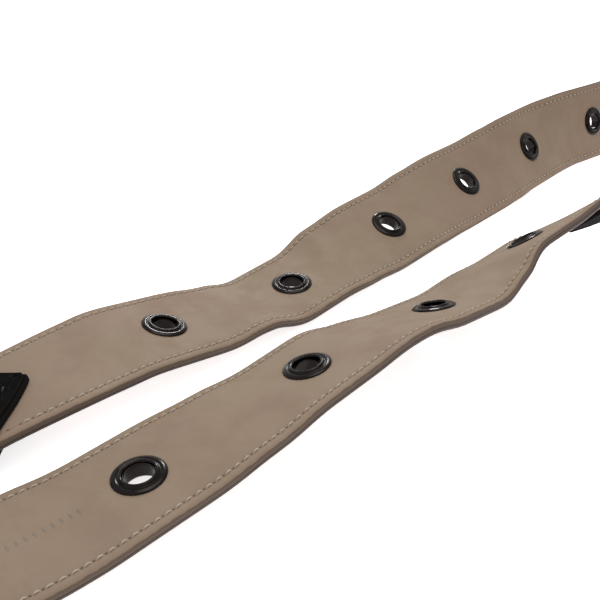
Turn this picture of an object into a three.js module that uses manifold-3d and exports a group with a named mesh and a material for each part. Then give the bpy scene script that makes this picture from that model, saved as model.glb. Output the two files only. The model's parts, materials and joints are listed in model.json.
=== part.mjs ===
// Y-back suspenders, laid out on a table: two eyeleted shoulder straps of stitched leather run from their
// front clips to a leather back patch, and an elastic rear strap runs on from the patch to a third clip.
// Millimetres, +Z up, table at z = 0. The origin is under the back patch, where the three centrelines meet,
// and the shoulder straps run from the clips at -X to the patch.
import * as THREE from "three";
import { mergeVertices } from "three/addons/utils/BufferGeometryUtils.js";
import Module from "manifold-3d";

const wasm = await Module();
wasm.setup();

// ---------- Driving dimensions ----------
const gap = 0.3; // between pieces that touch
const strap = { width: 35, ply: 1.3, step: 14 };
const eyelet = { outer: 13.3, hole: 7.5, barrel: 0.5, rim: 0.9, crown: 0.7, pitch: 53, count: 13 };
eyelet.toTip = 44; // from the front tab's point to the first eyelet
eyelet.washer = 11.3; // outer diameter at the back
eyelet.margin = 0.55; // of flat strap round the flange
eyelet.sides = 10;
const tab = { length: 60, thick: 1.5, blunt: 2, turns: 8 };
const patch = { thick: 1.5, spread: 30, lap: 42, rear: 34, corner: 6 };
patch.leadIn = 36; // the last free stretch of a strap before the patch,
patch.leadRoll = 6; // and the twist left at its start, in degrees
const rear = { length: 150 };
const pad = { width: 25, thick: 1.6, gap: 0.8, start: 286, length: 190 };
const rivet = { shaft: 1.5, head: 3.6, crown: 2.6, dome: 1.2, flush: 0.3, fromButt: 22 };
const ring = { bar: 2.2, thick: 2, opening: 9, side: 0.5, corner: 2 };
const clip = { width: 24.4, plate: 1.2, length: 39, ear: 1.2, pinX: 20.8, pinZ: 4, mouth: 9.5 };
const ear = { behind: 7, ahead: 8, round: 3 }; // reach of its foot each side of the pin; rounded top
const jaw = { side: 0.6, hub: 2.8, lip: 1.4, shin: 10, hunch: 3.4 };
const lever = { length: 14, rise: 7, thick: 1.2, root: 2.2 }; // from the pin to the end that is pressed
const pin = { radius: 1, head: 1.8, headThick: 0.8, play: 0.35 };
const spring = { outer: 2.3, length: 6.4 };
const grip = { thick: 1, inset: 0.6 };
const sides = 8; // of small round pieces
const past = 2; // how far a cutter runs past what it cuts

// ---------- What follows from them ----------
const half = strap.width / 2;
const stack = 2 * strap.ply + gap; // both plies
const faceHeight = patch.thick + gap + stack; // top of a strap that lies flat in its tab or patch
const foldInner = stack / 2 + gap;
const foldOuter = foldInner + tab.thick;
const barHeight = faceHeight - stack / 2; // centre of the fold, the ring's bar and its hinge
const butt = half / Math.tan(THREE.MathUtils.degToRad(patch.spread)) + 2 * gap;
const armTip = butt + patch.lap;
const firstEyelet = tab.length + eyelet.toTip;
const flatReach = eyelet.outer / 2 + eyelet.margin; // half length of the stretch that an eyelet holds flat

// ---------- Routes: x, y, height of the face's lower edge, and roll in degrees ----------
// A positive roll lifts the edge on the -Y side, a negative one the edge on the +Y side.
const leftStations = [
  [-801, 18, faceHeight, 0],
  [-790, 18, 4.9, 0],
  [-776, 18.2, 6.6, 0],
  [-761, 18.1, 9.5, 0],
  [-745, 17.5, 11.5, 0],
  [-715, 19.5, 10.5, -5],
  [-690, 21, 7.5, -5],
  [-670, 22, 6.7, 1],
  [-649, 23, 5, 0],
  [-620, 25.5, 4.6, -13],
  [-591, 27.5, 4.2, -23],
  [-562, 30.5, 4, -31],
  [-535, 32.5, 3.3, -40],
  [-507, 35, 2.8, -49],
  [-479, 37.5, 2.5, -60],
  [-451, 37.5, 2.6, -70],
  [-423, 36, 3.4, -72],
  [-380, 46, 3, -76],
  [-335, 66, 2.8, -80],
  [-285, 90, 2.6, -83],
  [-235, 113, 2.6, -84],
  [-190, 127, 2.8, -80],
  [-152, 118, 5, -62],
];
const rightStations = [
  [-841.5, -25, faceHeight, 0],
  [-810, -25, faceHeight, 0],
  [-784, -25, 4.8, 0],
  [-762, -25.5, 3.7, 1],
  [-740, -26, 4.8, 3],
  [-705, -26, 7.4, 8.5],
  [-673, -25.5, 9.7, 16],
  [-651, -25.5, 8.2, 21],
  [-632, -25.5, 6, 20],
  [-614, -24, 4.7, 23],
  [-589, -22, 6.7, 34],
  [-557, -23, 8.8, 42],
  [-524, -27.5, 9.6, 50],
  [-488, -33, 8.2, 58],
  [-450, -38, 5, 66],
  [-390, -46, 3.6, 70],
  [-330, -58, 3.4, 72],
  [-270, -71, 3.6, 70],
  [-210, -80, 3.5, 62],
  [-160, -79, 4.3, 42],
];

const leather = new THREE.MeshStandardMaterial({ color: 0x9b8a78, roughness: 0.62, metalness: 0 });
const lining = new THREE.MeshStandardMaterial({ color: 0x93776c, roughness: 0.75, metalness: 0 });
const black = new THREE.MeshStandardMaterial({ color: 0x161616, roughness: 0.55, metalness: 0 });
const elastic = new THREE.MeshStandardMaterial({ color: 0x1b1b1c, roughness: 0.9, metalness: 0 });
const gunmetal = new THREE.MeshStandardMaterial({ color: 0x3a393b, roughness: 0.28, metalness: 1 });
const rubber = new THREE.MeshStandardMaterial({ color: 0x202020, roughness: 0.8, metalness: 0 });

// ---------- Solids ----------
function solidOf(geometry) {
  const bare = geometry.index ? geometry.clone() : geometry;
  bare.deleteAttribute("normal");
  bare.deleteAttribute("uv");
  const merged = mergeVertices(bare, 1e-4);
  const corners = Array.from(merged.index.array);
  const whole = [];
  for (let i = 0; i < corners.length; i += 3) {
    const [a, b, c] = corners.slice(i, i + 3);
    if (a !== b && b !== c && c !== a) whole.push(a, b, c);
  }
  const vertProperties = merged.attributes.position.array;
  const make = (order) =>
    new wasm.Manifold(new wasm.Mesh({ numProp: 3, vertProperties, triVerts: new Uint32Array(order) }));
  const solid = make(whole);
  return solid.volume() > 0 ? solid : make(whole.reverse());
}

function geometryOf(solid) {
  const mesh = solid.getMesh();
  const geometry = new THREE.BufferGeometry();
  const positions = new Float32Array(mesh.vertProperties);
  geometry.setAttribute("position", new THREE.BufferAttribute(positions, 3));
  geometry.setIndex(new THREE.BufferAttribute(mesh.triVerts, 1));
  return geometry;
}

function cut(geometry, tools) {
  return geometryOf(tools.reduce((solid, tool) => solid.subtract(solidOf(tool)), solidOf(geometry)));
}

function join(geometries) {
  return geometryOf(geometries.map(solidOf).reduce((whole, part) => whole.add(part)));
}

function piece(parent, name, geometry, material) {
  const mesh = new THREE.Mesh(geometryOf(solidOf(geometry)), material);
  mesh.name = name;
  parent.add(mesh);
  return mesh;
}

// A profile in x and z, drawn out evenly to both sides of y = 0.
function slab(shape, width) {
  const options = { depth: width, bevelEnabled: false, curveSegments: 5 };
  return new THREE.ExtrudeGeometry(shape, options).rotateX(Math.PI / 2).translate(0, width / 2, 0);
}

// A round piece about z from a closed outline of radius and height.
function turned(outline, count = sides) {
  const points = [...outline, outline[0]].map(([radius, height]) => new THREE.Vector2(radius, height));
  return new THREE.LatheGeometry(points, count).rotateX(Math.PI / 2);
}

function rod(radius, from, to, count = sides) {
  return turned([[0, from], [radius, from], [radius, to], [0, to]], count);
}

// ---------- Routes and the bands that follow them ----------
class Route {
  constructor(stations, flats) {
    const radians = stations.map(([, , , roll]) => THREE.MathUtils.degToRad(roll));
    const rise = (i) => half * Math.abs(Math.sin(radians[i]));
    const places = stations.map(([x, y, low], i) => new THREE.Vector3(x, y, low + rise(i)));
    const rolls = radians.map((roll) => new THREE.Vector3(roll, 0, 0));
    this.line = new THREE.CatmullRomCurve3(places, false, "catmullrom");
    this.rolls = new THREE.CatmullRomCurve3(rolls, false, "catmullrom");
    this.line.arcLengthDivisions = stations.length * 40;
    this.flats = flats;
  }

  // Centre, direction, left side and face normal at a distance from the start.
  frame(distance) {
    const held = this.flats.find((place) => Math.abs(place - distance) <= flatReach + 1e-6);
    const from = held ?? distance;
    const t = from > 0 ? this.line.getUtoTmapping(0, from) : 0;
    const along = this.line.getTangent(t);
    const roll = this.rolls.getPoint(t).x;
    const left = new THREE.Vector3(0, 0, 1).cross(along).normalize().applyAxisAngle(along, -roll);
    const face = along.clone().cross(left);
    const centre = this.line.getPoint(t).addScaledVector(along, distance - from);
    return { centre, along, left, face };
  }

  // The places to put a section at between two distances, with both edges of each flat stretch.
  places(from, to) {
    const fixed = this.flats.flatMap((place) => [place - flatReach, place + flatReach]);
    const stops = [from, ...fixed.filter((place) => place > from + 1 && place < to - 1), to];
    return stops.slice(1).flatMap((stop, i) => {
      const count = Math.max(1, Math.round((stop - stops[i]) / strap.step));
      return Array.from({ length: count }, (_, k) => stops[i] + ((stop - stops[i]) * k) / count);
    }).concat(to);
  }
}

// A closed band through sections of { centre, side, face, half }; it is as thick as said, towards face.
// Its upper and lower faces are split along the same diagonals, so layers of a twisted strap stay parallel.
function band(sections, thick) {
  const corners = sections.flatMap(({ centre, side, face, half: reach }) => {
    const edge = (across) => centre.clone().addScaledVector(side, across * reach);
    const corner = (across, up) => edge(across).addScaledVector(face, up);
    return [corner(-1, 0), corner(1, 0), corner(1, thick), corner(-1, thick)];
  });
  const end = corners.length - 4;
  const triangles = [[0, 3, 2], [0, 2, 1], [end, end + 1, end + 2], [end, end + 2, end + 3]];
  for (let i = 0; i < end; i += 4) {
    triangles.push([i, i + 1, i + 4], [i + 1, i + 5, i + 4]); // lower face
    triangles.push([i + 3, i + 7, i + 2], [i + 2, i + 7, i + 6]); // upper face
    triangles.push([i + 1, i + 2, i + 6], [i + 1, i + 6, i + 5]); // left edge
    triangles.push([i, i + 4, i + 7], [i, i + 7, i + 3]); // right edge
  }
  return new THREE.BufferGeometry().setFromPoints(corners).setIndex(triangles.flat());
}

const pointed = (reach, fromTip) => Math.min(reach, tab.blunt / 2 + Math.max(0, fromTip));

// A band that lies along a route, with its underside raised above the face by lift.
function layer(route, from, to, lift, thick, reachAt = () => half, extra = []) {
  const places = [...route.places(from, to), ...extra].sort((a, b) => a - b);
  const sections = places.map((place) => {
    const { centre, left, face } = route.frame(place);
    return { centre: centre.addScaledVector(face, lift), side: left, face, half: reachAt(place) };
  });
  return band(sections, thick);
}

// Stands a piece made about z on a route: its z along the face normal, its x along the strap.
function seat(geometry, route, distance) {
  const { centre, along, left, face } = route.frame(distance);
  return geometry.applyMatrix4(new THREE.Matrix4().makeBasis(along, left, face).setPosition(centre));
}

// ---------- Straps ----------
function armStations(sign) {
  const turn = THREE.MathUtils.degToRad(patch.spread);
  const at = (reach, roll) => [
    -reach * Math.cos(turn),
    sign * reach * Math.sin(turn),
    faceHeight,
    -sign * roll,
  ];
  return [at(armTip + patch.leadIn, patch.leadRoll), at(armTip, 0), at(butt, 0)];
}

const numbered = (i) => String(i).padStart(2, "0");
const eyeletPlaces = Array.from({ length: eyelet.count }, (_, i) => firstEyelet + i * eyelet.pitch);

function holes(route, places, radius, from, to) {
  return places.map((place) => seat(rod(radius, from, to, eyelet.sides), route, place));
}

function shoulderStrap(group, side, stations, sign) {
  const route = new Route([...stations, ...armStations(sign)], eyeletPlaces);
  const start = ring.bar / 2 + 3 * gap;
  const end = route.line.getLength();
  const bore = eyelet.hole / 2 + eyelet.barrel + gap;
  const through = [-stack - past, past];
  const cutters = () => [
    ...holes(route, eyeletPlaces, bore, ...through),
    ...holes(route, [end - rivet.fromButt], rivet.shaft + gap, ...through),
  ];
  const ply = (lift) => cut(layer(route, start, end, lift, strap.ply), cutters());
  piece(group, `strap_face_${side}`, ply(-strap.ply), leather);
  piece(group, `strap_lining_${side}`, ply(-stack), lining);
  eyeletPlaces.forEach((place, i) =>
    piece(group, `eyelet_${side}_${numbered(i + 1)}`, seat(eyeletShape(), route, place), gunmetal),
  );
  piece(group, `shoulder_pad_${side}`, shoulderPad(route), black);
  return route;
}

function eyeletShape() {
  const inner = eyelet.hole / 2;
  const barrel = inner + eyelet.barrel;
  const outer = eyelet.outer / 2;
  const washer = eyelet.washer / 2;
  const back = -stack - gap;
  return turned(
    [
      [inner, back - eyelet.barrel],
      [washer, back - eyelet.barrel],
      [washer, back],
      [barrel, back],
      [barrel, gap],
      [outer, gap],
      [inner + eyelet.crown, gap + eyelet.rim],
      [inner, gap + eyelet.rim - eyelet.barrel],
    ],
    eyelet.sides,
  );
}

function shoulderPad(route) {
  const reach = pad.width / 2;
  const end = pad.start + pad.length;
  const shoulder = reach - tab.blunt / 2;
  const reachAt = (place) => pointed(reach, Math.min(place - pad.start, end - place));
  const lift = -stack - pad.gap - pad.thick;
  const shoulders = [pad.start + shoulder, end - shoulder];
  const shape = layer(route, pad.start, end, lift, pad.thick, reachAt, shoulders);
  const hole = eyelet.outer / 2 + gap;
  const near = eyeletPlaces.filter((place) => place > pad.start - hole && place < end + hole);
  return cut(shape, holes(route, near, hole, lift - past, lift + pad.thick + gap));
}

// ---------- End tabs: one strip, folded round the ring's bar, with a point on both tongues ----------
function endTab(group, name, route) {
  const shoulder = half - tab.blunt / 2;
  const tongue = [...route.places(0, tab.length - shoulder), tab.length];
  const pivotDrop = -stack / 2;
  const around = (place, turn) => {
    const { centre, along, left, face } = route.frame(place);
    const out = face.clone().multiplyScalar(Math.cos(turn)).addScaledVector(along, -Math.sin(turn));
    const base = centre.addScaledVector(face, pivotDrop).addScaledVector(out, foldInner);
    const reach = pointed(half, tab.length - place);
    return { centre: base, side: left.clone().negate(), face: out, half: reach };
  };
  const bends = Array.from({ length: tab.turns - 1 }, (_, i) => (Math.PI * (i + 1)) / tab.turns);
  const sections = [
    ...tongue.toReversed().map((place) => around(place, 0)),
    ...bends.map((turn) => around(0, turn)),
    ...tongue.map((place) => around(place, Math.PI)),
  ];
  piece(group, name, band(sections, tab.thick), black);
}

// A rivet through a stack that lies from bottom to top under its head.
function rivetShape(bottom, top) {
  const seatAt = top + gap;
  return turned([
    [0, bottom],
    [rivet.shaft, bottom],
    [rivet.shaft, seatAt],
    [rivet.head, seatAt],
    [rivet.crown, seatAt + rivet.dome],
    [0, seatAt + rivet.dome + gap],
  ]);
}

// ---------- Back patch ----------
function tongueShape(reach) {
  const shape = new THREE.Shape();
  const shoulder = reach - half + tab.blunt / 2;
  shape.moveTo(0, -half);
  shape.lineTo(shoulder, -half);
  shape.lineTo(reach, -tab.blunt / 2);
  shape.lineTo(reach, tab.blunt / 2);
  shape.lineTo(shoulder, half);
  shape.lineTo(0, half);
  return new THREE.ExtrudeGeometry(shape, { depth: patch.thick, bevelEnabled: false });
}

function patchPlate(height, cutters) {
  const turn = THREE.MathUtils.degToRad(patch.spread);
  const plate = join([
    tongueShape(armTip).rotateZ(Math.PI - turn),
    tongueShape(armTip).rotateZ(Math.PI + turn),
    tongueShape(patch.rear),
  ]);
  return cut(plate.translate(0, 0, height), cutters);
}

// ---------- Clip, made about the fold's bar: +X out of the tab, z = 0 at the bar's centre ----------
function ringShape() {
  const inside = half + ring.side;
  const near = -ring.bar / 2;
  const far = near + 2 * ring.bar + ring.opening;
  const edge = inside + ring.bar;
  const shape = new THREE.Shape();
  const r = ring.corner;
  shape.moveTo(near + r, -edge);
  shape.lineTo(far - r, -edge);
  shape.absarc(far - r, -edge + r, r, -Math.PI / 2, 0);
  shape.absarc(far - r, edge - r, r, 0, Math.PI / 2);
  shape.absarc(near + r, edge - r, r, Math.PI / 2, Math.PI);
  shape.absarc(near + r, -edge + r, r, Math.PI, 1.5 * Math.PI);
  const hole = new THREE.Path();
  hole.moveTo(near + ring.bar, -inside);
  hole.lineTo(near + ring.bar, inside);
  hole.lineTo(far - ring.bar, inside);
  hole.lineTo(far - ring.bar, -inside);
  shape.holes.push(hole);
  const options = { depth: ring.thick, bevelEnabled: false, curveSegments: 2 };
  return new THREE.ExtrudeGeometry(shape, options).translate(0, 0, -ring.thick / 2);
}

const hookX = ring.bar + ring.opening; // the outer bar, which the clip hangs on
const floor = -foldOuter;
const plateTop = floor + clip.plate;
const pinX = hookX + clip.pinX;
const mouthX = hookX + clip.length;

function crossRod(radius, length, x, z) {
  return rod(radius, -length / 2, length / 2).rotateX(Math.PI / 2).translate(x, 0, z);
}

function clipBodyShape() {
  const shape = new THREE.Shape();
  const meet = Math.asin(plateTop / foldOuter);
  shape.moveTo(mouthX, floor);
  shape.lineTo(hookX, floor);
  shape.absarc(hookX, 0, foldOuter, -Math.PI / 2, meet, true);
  shape.lineTo(mouthX, plateTop);
  const eye = Array.from({ length: sides }, (_, i) => {
    const turn = (2 * Math.PI * i) / sides;
    return new THREE.Vector2(hookX + foldInner * Math.cos(turn), foldInner * Math.sin(turn));
  });
  shape.holes.push(new THREE.Path(eye));
  const side = new THREE.Shape();
  side.moveTo(pinX - ear.behind, floor);
  side.lineTo(pinX + ear.ahead, floor);
  side.lineTo(pinX + ear.round, clip.pinZ);
  side.absarc(pinX, clip.pinZ, ear.round, 0, Math.PI);
  const earAt = (y) => slab(side, clip.ear).translate(0, y, 0);
  const reach = (clip.width - clip.ear) / 2;
  const body = join([slab(shape, clip.width), earAt(-reach), earAt(reach)]);
  return cut(body, [crossRod(pin.radius + pin.play, clip.width + past, pinX, clip.pinZ)]);
}

function jawShape() {
  const tip = plateTop + grip.thick + 2 * gap;
  const at = (x, z) => new THREE.Vector2(pinX + x, clip.pinZ + z);
  const shape = new THREE.Shape([
    new THREE.Vector2(mouthX, tip),
    new THREE.Vector2(mouthX, tip + jaw.lip),
    new THREE.Vector2(pinX + jaw.shin, tip + jaw.lip + gap),
    at(jaw.hunch, jaw.hunch / 2),
    at(gap, jaw.hunch),
    at(-lever.length, lever.rise),
    at(-lever.length, lever.rise - lever.thick),
    at(-jaw.hub, lever.root),
    at(-jaw.hub, -jaw.hub / 2),
    at(-jaw.hub / 2, -jaw.hub),
    at(jaw.hub / 2, -jaw.hub),
    new THREE.Vector2(mouthX - clip.mouth, tip),
  ]);
  const width = clip.width - 2 * clip.ear - 2 * jaw.side;
  const pocket = 2 * jaw.hub + gap;
  const notch = new THREE.BoxGeometry(pocket, spring.length + 2 * gap, pocket);
  return cut(slab(shape, width), [
    crossRod(pin.radius + pin.play, width + past, pinX, clip.pinZ),
    notch.translate(pinX, 0, clip.pinZ),
  ]);
}

function pinShape() {
  const reach = clip.width / 2 + gap;
  const end = reach + pin.headThick;
  const outline = [
    [0, -end],
    [pin.head, -end],
    [pin.head, -reach],
    [pin.radius, -reach],
    [pin.radius, reach],
    [pin.head, reach],
    [pin.head, end],
    [0, end],
  ];
  return turned(outline).rotateX(Math.PI / 2).translate(pinX, 0, clip.pinZ);
}

function springShape() {
  const inner = pin.radius + gap;
  const end = spring.length / 2;
  const sleeve = turned([[inner, -end], [spring.outer, -end], [spring.outer, end], [inner, end]]);
  return sleeve.rotateX(Math.PI / 2).translate(pinX, 0, clip.pinZ);
}

function gripShape() {
  const length = clip.mouth - grip.inset;
  const block = new THREE.BoxGeometry(length, clip.width - 2 * clip.ear, grip.thick);
  return block.translate(mouthX - grip.inset - length / 2, 0, plateTop + gap + grip.thick / 2);
}

function clipAt(group, name, route) {
  const { centre, along } = route.frame(0);
  const place = new THREE.Group();
  place.position.set(centre.x, centre.y, barHeight);
  place.rotation.z = Math.atan2(-along.y, -along.x);
  group.add(place);
  piece(place, `${name}_ring`, ringShape(), gunmetal);
  piece(place, `${name}_clip_body`, clipBodyShape(), gunmetal);
  piece(place, `${name}_clip_jaw`, jawShape(), gunmetal);
  piece(place, `${name}_clip_pin`, pinShape(), gunmetal);
  piece(place, `${name}_clip_spring`, springShape(), gunmetal);
  piece(place, `${name}_clip_grip`, gripShape(), rubber);
}

// ---------- Assembly ----------
const suspenders = new THREE.Group();
const leftRoute = shoulderStrap(suspenders, "left", leftStations, 1);
const rightRoute = shoulderStrap(suspenders, "right", rightStations, -1);

const rearStart = patch.corner - butt; // clear of both butted ends
const rearFold = patch.rear + rear.length;
const rearRoute = new Route(
  [rearFold, (rearFold + rearStart) / 2, rearStart].map((x) => [x, 0, faceHeight, 0]),
  [],
);
const rearLength = rearFold - rearStart;
const rearRivet = rearFold - patch.rear + half;
const elasticBand = layer(rearRoute, ring.bar / 2 + 3 * gap, rearLength, -stack, stack);
const elasticHoles = holes(rearRoute, [rearRivet], rivet.shaft + gap, -stack - past, past);
piece(suspenders, "rear_elastic", cut(elasticBand, elasticHoles), elastic);

const fromButt = (route) => route.line.getLength() - rivet.fromButt;
const patchRivets = [
  [leftRoute, fromButt(leftRoute)],
  [rightRoute, fromButt(rightRoute)],
  [rearRoute, rearRivet],
];
const bottom = -faceHeight - past;
const top = gap + patch.thick + past;
const patchHoles = () =>
  patchRivets.flatMap(([route, place]) => holes(route, [place], rivet.shaft + gap, bottom, top));
piece(suspenders, "back_patch_under", patchPlate(0, patchHoles()), black);
piece(suspenders, "back_patch_top", patchPlate(faceHeight + gap, patchHoles()), black);

const routes = { left: leftRoute, right: rightRoute, rear: rearRoute };
Object.entries(routes).forEach(([side, route], i) => {
  endTab(suspenders, `end_tab_${side}`, route);
  const patchRivet = rivetShape(rivet.flush - faceHeight, gap + patch.thick);
  piece(suspenders, `patch_rivet_${side}`, seat(patchRivet, route, patchRivets[i][1]), gunmetal);
  clipAt(suspenders, side, route);
});

export default suspenders;
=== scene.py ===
# %% [markdown]
# # Y-back suspenders of stitched leather
#
# Two long beige straps with metal eyelets run from their front clips to a black leather patch, and a
# short elastic strap runs on from the patch to a third clip. The model of the frame is exact but plain.
# These cells put the finish on it: rounded and burnished edges, thread, tooling, metal and rubber.

# %% Load the fixed frame
import json
import math

import bmesh
import bpy
import numpy as np
from mathutils import Matrix, Vector
from mathutils.geometry import delaunay_2d_cdt


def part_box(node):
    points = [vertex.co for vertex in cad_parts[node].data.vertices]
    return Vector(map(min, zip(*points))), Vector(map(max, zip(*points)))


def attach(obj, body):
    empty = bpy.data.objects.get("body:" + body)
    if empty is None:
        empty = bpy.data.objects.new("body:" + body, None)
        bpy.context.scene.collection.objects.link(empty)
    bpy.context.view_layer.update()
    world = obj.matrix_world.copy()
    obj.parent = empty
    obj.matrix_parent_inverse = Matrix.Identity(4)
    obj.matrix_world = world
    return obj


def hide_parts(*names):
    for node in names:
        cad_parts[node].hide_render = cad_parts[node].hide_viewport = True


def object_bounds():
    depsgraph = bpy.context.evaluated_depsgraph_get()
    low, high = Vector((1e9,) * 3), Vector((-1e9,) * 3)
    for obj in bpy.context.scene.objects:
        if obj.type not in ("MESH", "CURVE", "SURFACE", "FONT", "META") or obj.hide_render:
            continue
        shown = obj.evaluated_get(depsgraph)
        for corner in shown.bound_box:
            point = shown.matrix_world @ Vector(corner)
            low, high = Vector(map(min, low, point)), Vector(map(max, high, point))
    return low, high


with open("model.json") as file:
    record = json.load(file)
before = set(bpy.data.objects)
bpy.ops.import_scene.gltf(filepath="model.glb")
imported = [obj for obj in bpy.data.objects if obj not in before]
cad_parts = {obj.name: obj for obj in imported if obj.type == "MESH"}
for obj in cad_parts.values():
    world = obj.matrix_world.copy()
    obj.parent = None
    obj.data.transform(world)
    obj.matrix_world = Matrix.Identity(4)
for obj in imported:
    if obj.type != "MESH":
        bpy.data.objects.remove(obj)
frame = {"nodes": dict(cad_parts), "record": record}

MM = 0.001
TURN = 6.283  # radians in a whole turn, as the shaders use it
cad_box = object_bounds()
bodies = {node: body for body, nodes in frame["record"]["behaviour"]["bodies"].items() for node in nodes}

# %% [markdown]
# ## Camera
#
# A camera can be aimed with a constraint, or with angles. Here the angles are the clearer way: yaw is the
# compass direction of the view, pitch looks down at the table, and roll tips the camera a little.

# %% Camera
EYE = Vector((-0.8150, -0.1574, 0.1307))
YAW, PITCH, ROLL = (math.radians(angle) for angle in (46.11, 27.95, -1.53))
SENSOR = 36.0
FOCAL = 50.26


def aimed(yaw, pitch, roll):
    """The turn of a camera that looks along yaw and down by pitch."""
    forward = Vector((math.cos(yaw) * math.cos(pitch), math.sin(yaw) * math.cos(pitch), -math.sin(pitch)))
    level = Vector((math.sin(yaw), -math.cos(yaw), 0))
    down = forward.cross(level)
    right = level * math.cos(roll) + down * math.sin(roll)
    up = level * math.sin(roll) - down * math.cos(roll)
    return Matrix((right, up, -forward)).transposed().to_4x4()


camera = bpy.data.objects.new("camera", bpy.data.cameras.new("camera"))
camera.matrix_world = Matrix.Translation(EYE) @ aimed(YAW, PITCH, ROLL)
camera.data.sensor_width = SENSOR
camera.data.lens = FOCAL
camera.data.clip_start = 0.01
bpy.context.scene.collection.objects.link(camera)
bpy.context.scene.camera = camera
print("camera at", tuple(round(c, 3) for c in camera.location))

# %% [markdown]
# ## Nodes in short
#
# Every finish below is a small node tree. A few helpers keep them readable: one adds a node and fills its
# sockets, one blends two colours, one turns a value into a soft mask, and the rest are sums. What several
# finishes share, such as grain or a worn edge, is a node group with named sockets, built once.

# %% Node helpers
def put(tree, kind, inputs=None, **settings):
    """Adds a node. A socket given as an input is linked, and anything else is set as its value."""
    node = tree.nodes.new("ShaderNode" + kind)
    for name, value in settings.items():
        setattr(node, name, value)
    for key, value in (inputs or {}).items():
        if isinstance(value, bpy.types.NodeSocket):
            tree.links.new(value, node.inputs[key])
        else:
            node.inputs[key].default_value = value
    return node


def blended(tree, share, first, second):
    """The first colour where share is 0, and the second where it is 1."""
    colours = [(*c, 1.0) if isinstance(c, tuple) and len(c) == 3 else c for c in (first, second)]
    mix = put(tree, "Mix", {0: share, 6: colours[0], 7: colours[1]}, data_type="RGBA")
    return mix.outputs[2]


def mask(tree, value, low, high, start=0.0, end=1.0):
    """A soft step from start, where value is at low, to end, where it is at high."""
    inputs = {"Value": value, "From Min": low, "From Max": high, "To Min": start, "To Max": end}
    return put(tree, "MapRange", inputs, interpolation_type="SMOOTHSTEP").outputs["Result"]


def sum_of(tree, operation, first, second):
    return put(tree, "Math", {0: first, 1: second}, operation=operation).outputs[0]


def times(tree, first, second):
    return sum_of(tree, "MULTIPLY", first, second)


def plus(tree, first, second):
    return sum_of(tree, "ADD", first, second)


def group(name, inputs, outputs, build):
    """A node group. build gets the tree and its input sockets, and returns a socket for each output."""
    tree = bpy.data.node_groups.new(name, "ShaderNodeTree")
    for label, kind, value in inputs:
        socket = tree.interface.new_socket(label, in_out="INPUT", socket_type="NodeSocket" + kind)
        socket.default_value = value
    for label, kind in outputs:
        tree.interface.new_socket(label, in_out="OUTPUT", socket_type="NodeSocket" + kind)
    source = tree.nodes.new("NodeGroupInput")
    sink = tree.nodes.new("NodeGroupOutput")
    for label, socket in build(tree, source.outputs).items():
        tree.links.new(socket, sink.inputs[label])
    return tree


def material(name, build, **uniform):
    """One Principled shader. build returns what varies, and uniform is set on the sockets."""
    made = bpy.data.materials.new(name)
    made.use_nodes = True
    tree = made.node_tree
    shader = tree.nodes["Principled BSDF"]
    for label, value in uniform.items():
        shader.inputs[label.replace("_", " ")].default_value = value
    for label, socket in build(tree).items():
        tree.links.new(socket, shader.inputs[label])
    return made


print("node helpers ready")

# %% [markdown]
# ## Grain, mottling, edges, needle holes and metal wear
#
# Leather grain is a net of fine creases round small pads, which a Voronoi texture draws well. Mottling is
# slow noise, where the hide took the dye unevenly. Edges and needle holes read the map that every leather
# piece here carries, called lay: its first number is the distance along the piece, and its second is the
# distance in from the nearest cut edge, both in metres. That makes a worn edge, or a row of holes a fixed
# way in from it, one line of arithmetic on any outline.

# %% Shared node groups
def grain_nodes(tree, given):
    place = put(tree, "TexCoord").outputs["Object"]
    cells = put(
        tree,
        "TexVoronoi",
        {"Vector": place, "Scale": given["Cells per Metre"]},
        feature="DISTANCE_TO_EDGE",
    )
    creases = mask(tree, cells.outputs["Distance"], 0.0, 0.16)
    fine_scale = times(tree, given["Cells per Metre"], 2.6)
    fuzz = put(tree, "TexNoise", {"Vector": place, "Scale": fine_scale, "Detail": 3.0, "Roughness": 0.6})
    wave_scale = times(tree, given["Cells per Metre"], 0.08)
    waves = put(tree, "TexNoise", {"Vector": place, "Scale": wave_scale, "Detail": 2.0})
    creased = times(tree, creases, given["Creases"])
    height = plus(tree, creased, fuzz.outputs["Fac"])
    return {"Height": plus(tree, height, waves.outputs["Fac"]), "Creases": creases}


def mottle_nodes(tree, given):
    place = put(tree, "TexCoord").outputs["Object"]
    slow = put(tree, "TexNoise", {"Vector": place, "Scale": given["Clouds per Metre"], "Detail": 4.0})
    quick_scale = times(tree, given["Clouds per Metre"], 9.0)
    quick = put(tree, "TexNoise", {"Vector": place, "Scale": quick_scale, "Detail": 5.0, "Roughness": 0.65})
    specks = put(tree, "TexNoise", {"Vector": place, "Scale": 2600.0, "Detail": 2.0})
    return {
        "Clouds": mask(tree, slow.outputs["Fac"], 0.36, 0.64),
        "Blotches": mask(tree, quick.outputs["Fac"], 0.35, 0.7),
        "Specks": mask(tree, specks.outputs["Fac"], 0.35, 0.65),
    }


def lay_parts(tree):
    lay = put(tree, "UVMap", uv_map="lay").outputs["UV"]
    parts = put(tree, "SeparateXYZ", {"Vector": lay})
    return parts.outputs["X"], parts.outputs["Y"]


def edge_nodes(tree, given):
    inset = lay_parts(tree)[1]
    place = put(tree, "TexCoord").outputs["Object"]
    rough = put(tree, "TexNoise", {"Vector": place, "Scale": 420.0, "Detail": 3.0})
    shift = times(tree, sum_of(tree, "SUBTRACT", rough.outputs["Fac"], 0.5), 0.0005)
    frayed = plus(tree, inset, shift)
    clear = plus(tree, given["Paint Reach"], 2e-4)
    return {
        "Cut Edge": mask(tree, frayed, given["Paint Reach"], clear, 1, 0),
        "Rub": mask(tree, frayed, 0.0, given["Rub Reach"], 1, 0),
    }


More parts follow.
